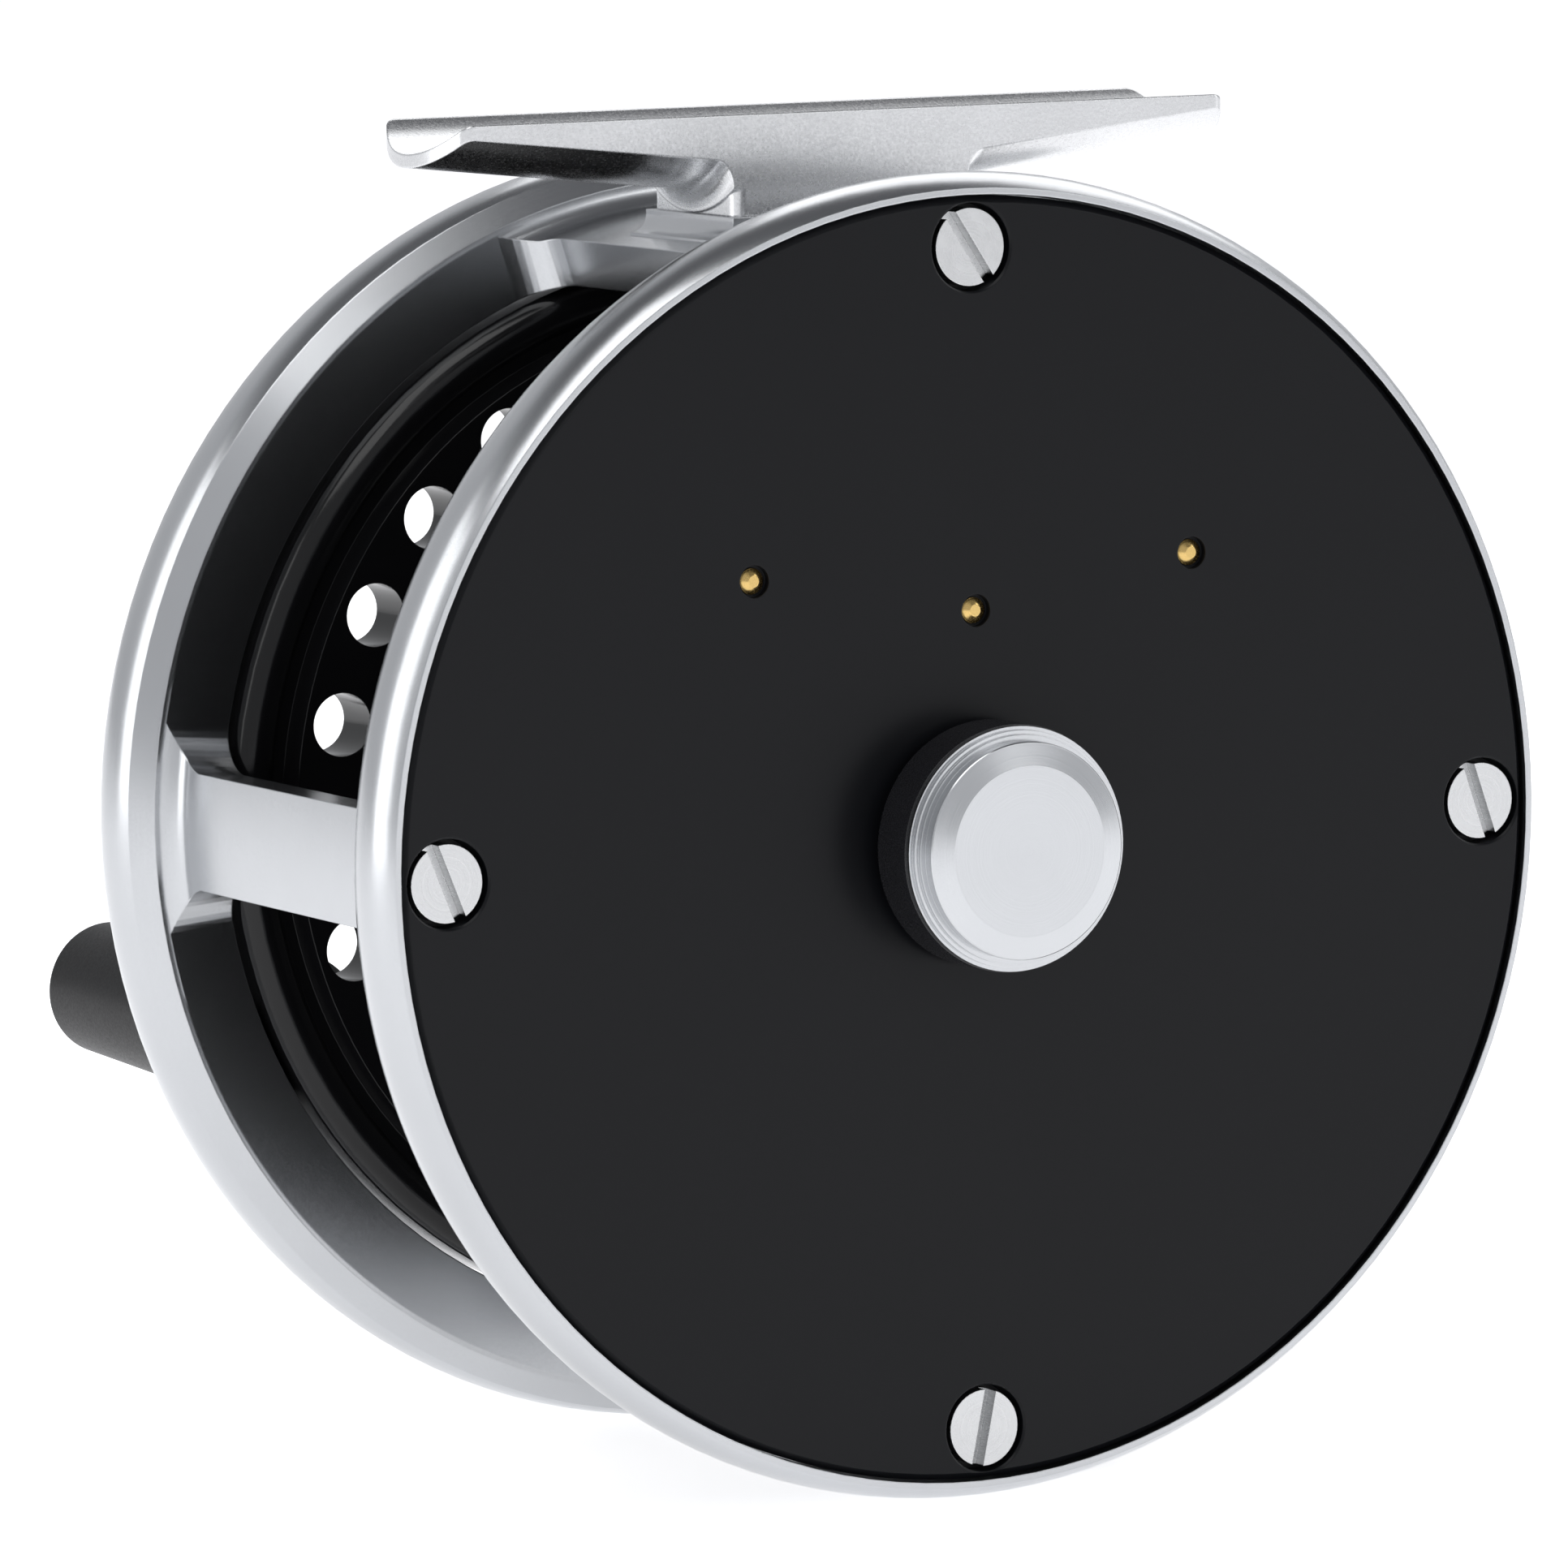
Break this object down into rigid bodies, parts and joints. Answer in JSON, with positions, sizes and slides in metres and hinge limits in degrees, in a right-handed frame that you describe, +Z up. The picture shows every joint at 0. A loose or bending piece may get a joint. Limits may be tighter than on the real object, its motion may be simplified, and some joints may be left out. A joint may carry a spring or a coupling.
{
  "type": "fly reel",
  "caption": "Caged fly reel with a perforated spool, side drag knob, click pawl, black crank handle and a saddle foot for a fly rod.",
  "frame": {"origin": "middle of the saddle on top of the reel foot, on its lowest line", "axes": "+Z up out of the saddle towards the rod, +X along the rod, -Y towards the drag knob and +Y towards the crank handle"},
  "size_m": [0.098, 0.093, 0.1018],
  "materials": {
    "cage_silver": "satin clear anodised",
    "foot_silver": "fine tumbled",
    "cap_silver": "turned, clear anodised",
    "plate_black": "satin black anodised",
    "knob_black": "satin black anodised",
    "spool_black": "gloss black anodised",
    "screw_steel": "turned",
    "spring_steel": "plain",
    "bearing_steel": "ground",
    "brass": "turned",
    "bronze": "sintered",
    "cork": "ground cork",
    "handle_black": "matte"
  },
  "bodies": {
    "frame": {"frame_cage": "cage_silver", "back_plate": "plate_black", "plate_screws": "screw_steel", "reel_foot": "foot_silver", "foot_screws": "screw_steel", "spindle_bushing": "bronze", "pawl_post": "brass", "spring_posts": "brass", "click_spring": "spring_steel", "thrust_springs": "spring_steel", "detent_spring": "spring_steel", "detent_ball": "bearing_steel"},
    "knob": {"drag_knob": "knob_black", "knob_cap": "cap_silver", "knob_nut": "brass", "cap_screws": "screw_steel"},
    "draw_bar": {"spindle": "bearing_steel", "spindle_key": "screw_steel", "spool_lock_nut": "cap_silver", "thrust_washer": "spring_steel"},
    "spool": {"spool": "spool_black", "drag_cork": "cork", "click_gear": "brass", "gear_screws": "screw_steel", "spool_bearings": "bearing_steel", "bearing_spacer": "bearing_steel", "counterweight": "cap_silver", "counterweight_screws": "screw_steel", "handle_post": "bearing_steel", "post_clip": "spring_steel"},
    "handle": {"handle_knob": "handle_black", "handle_bushings": "bronze"},
    "pawl": {"click_pawl": "bearing_steel"}
  },
  "joints": [
    {"name": "drag_turn", "type": "hinge", "parent": "frame", "child": "knob", "pos_m": [0, 0, -0.05065], "axis": [0, 1, 0], "range_deg": [0, 300]},
    {"name": "draw_slide", "type": "slide", "parent": "frame", "child": "draw_bar", "axis": [0, -1, 0], "range_m": [0, 0.00041666]},
    {"name": "spool_spin", "type": "hinge", "parent": "draw_bar", "child": "spool", "pos_m": [0, 0, -0.05065], "axis": [0, 1, 0], "continuous": true},
    {"name": "handle_spin", "type": "hinge", "parent": "spool", "child": "handle", "pos_m": [-0.03202, 0, -0.06818], "axis": [0, 1, 0], "continuous": true},
    {"name": "pawl_rock", "type": "hinge", "parent": "frame", "child": "pawl", "pos_m": [0, 0, -0.03365], "axis": [0, 1, 0], "range_deg": [-10, 10], "stiffness_Nm_per_rad": 0.01, "deforming": ["click_spring"]}
  ],
  "couplings": [
    {"joint": "drag_turn", "follows": "draw_slide", "rad_per_m": 12566}
  ]
}
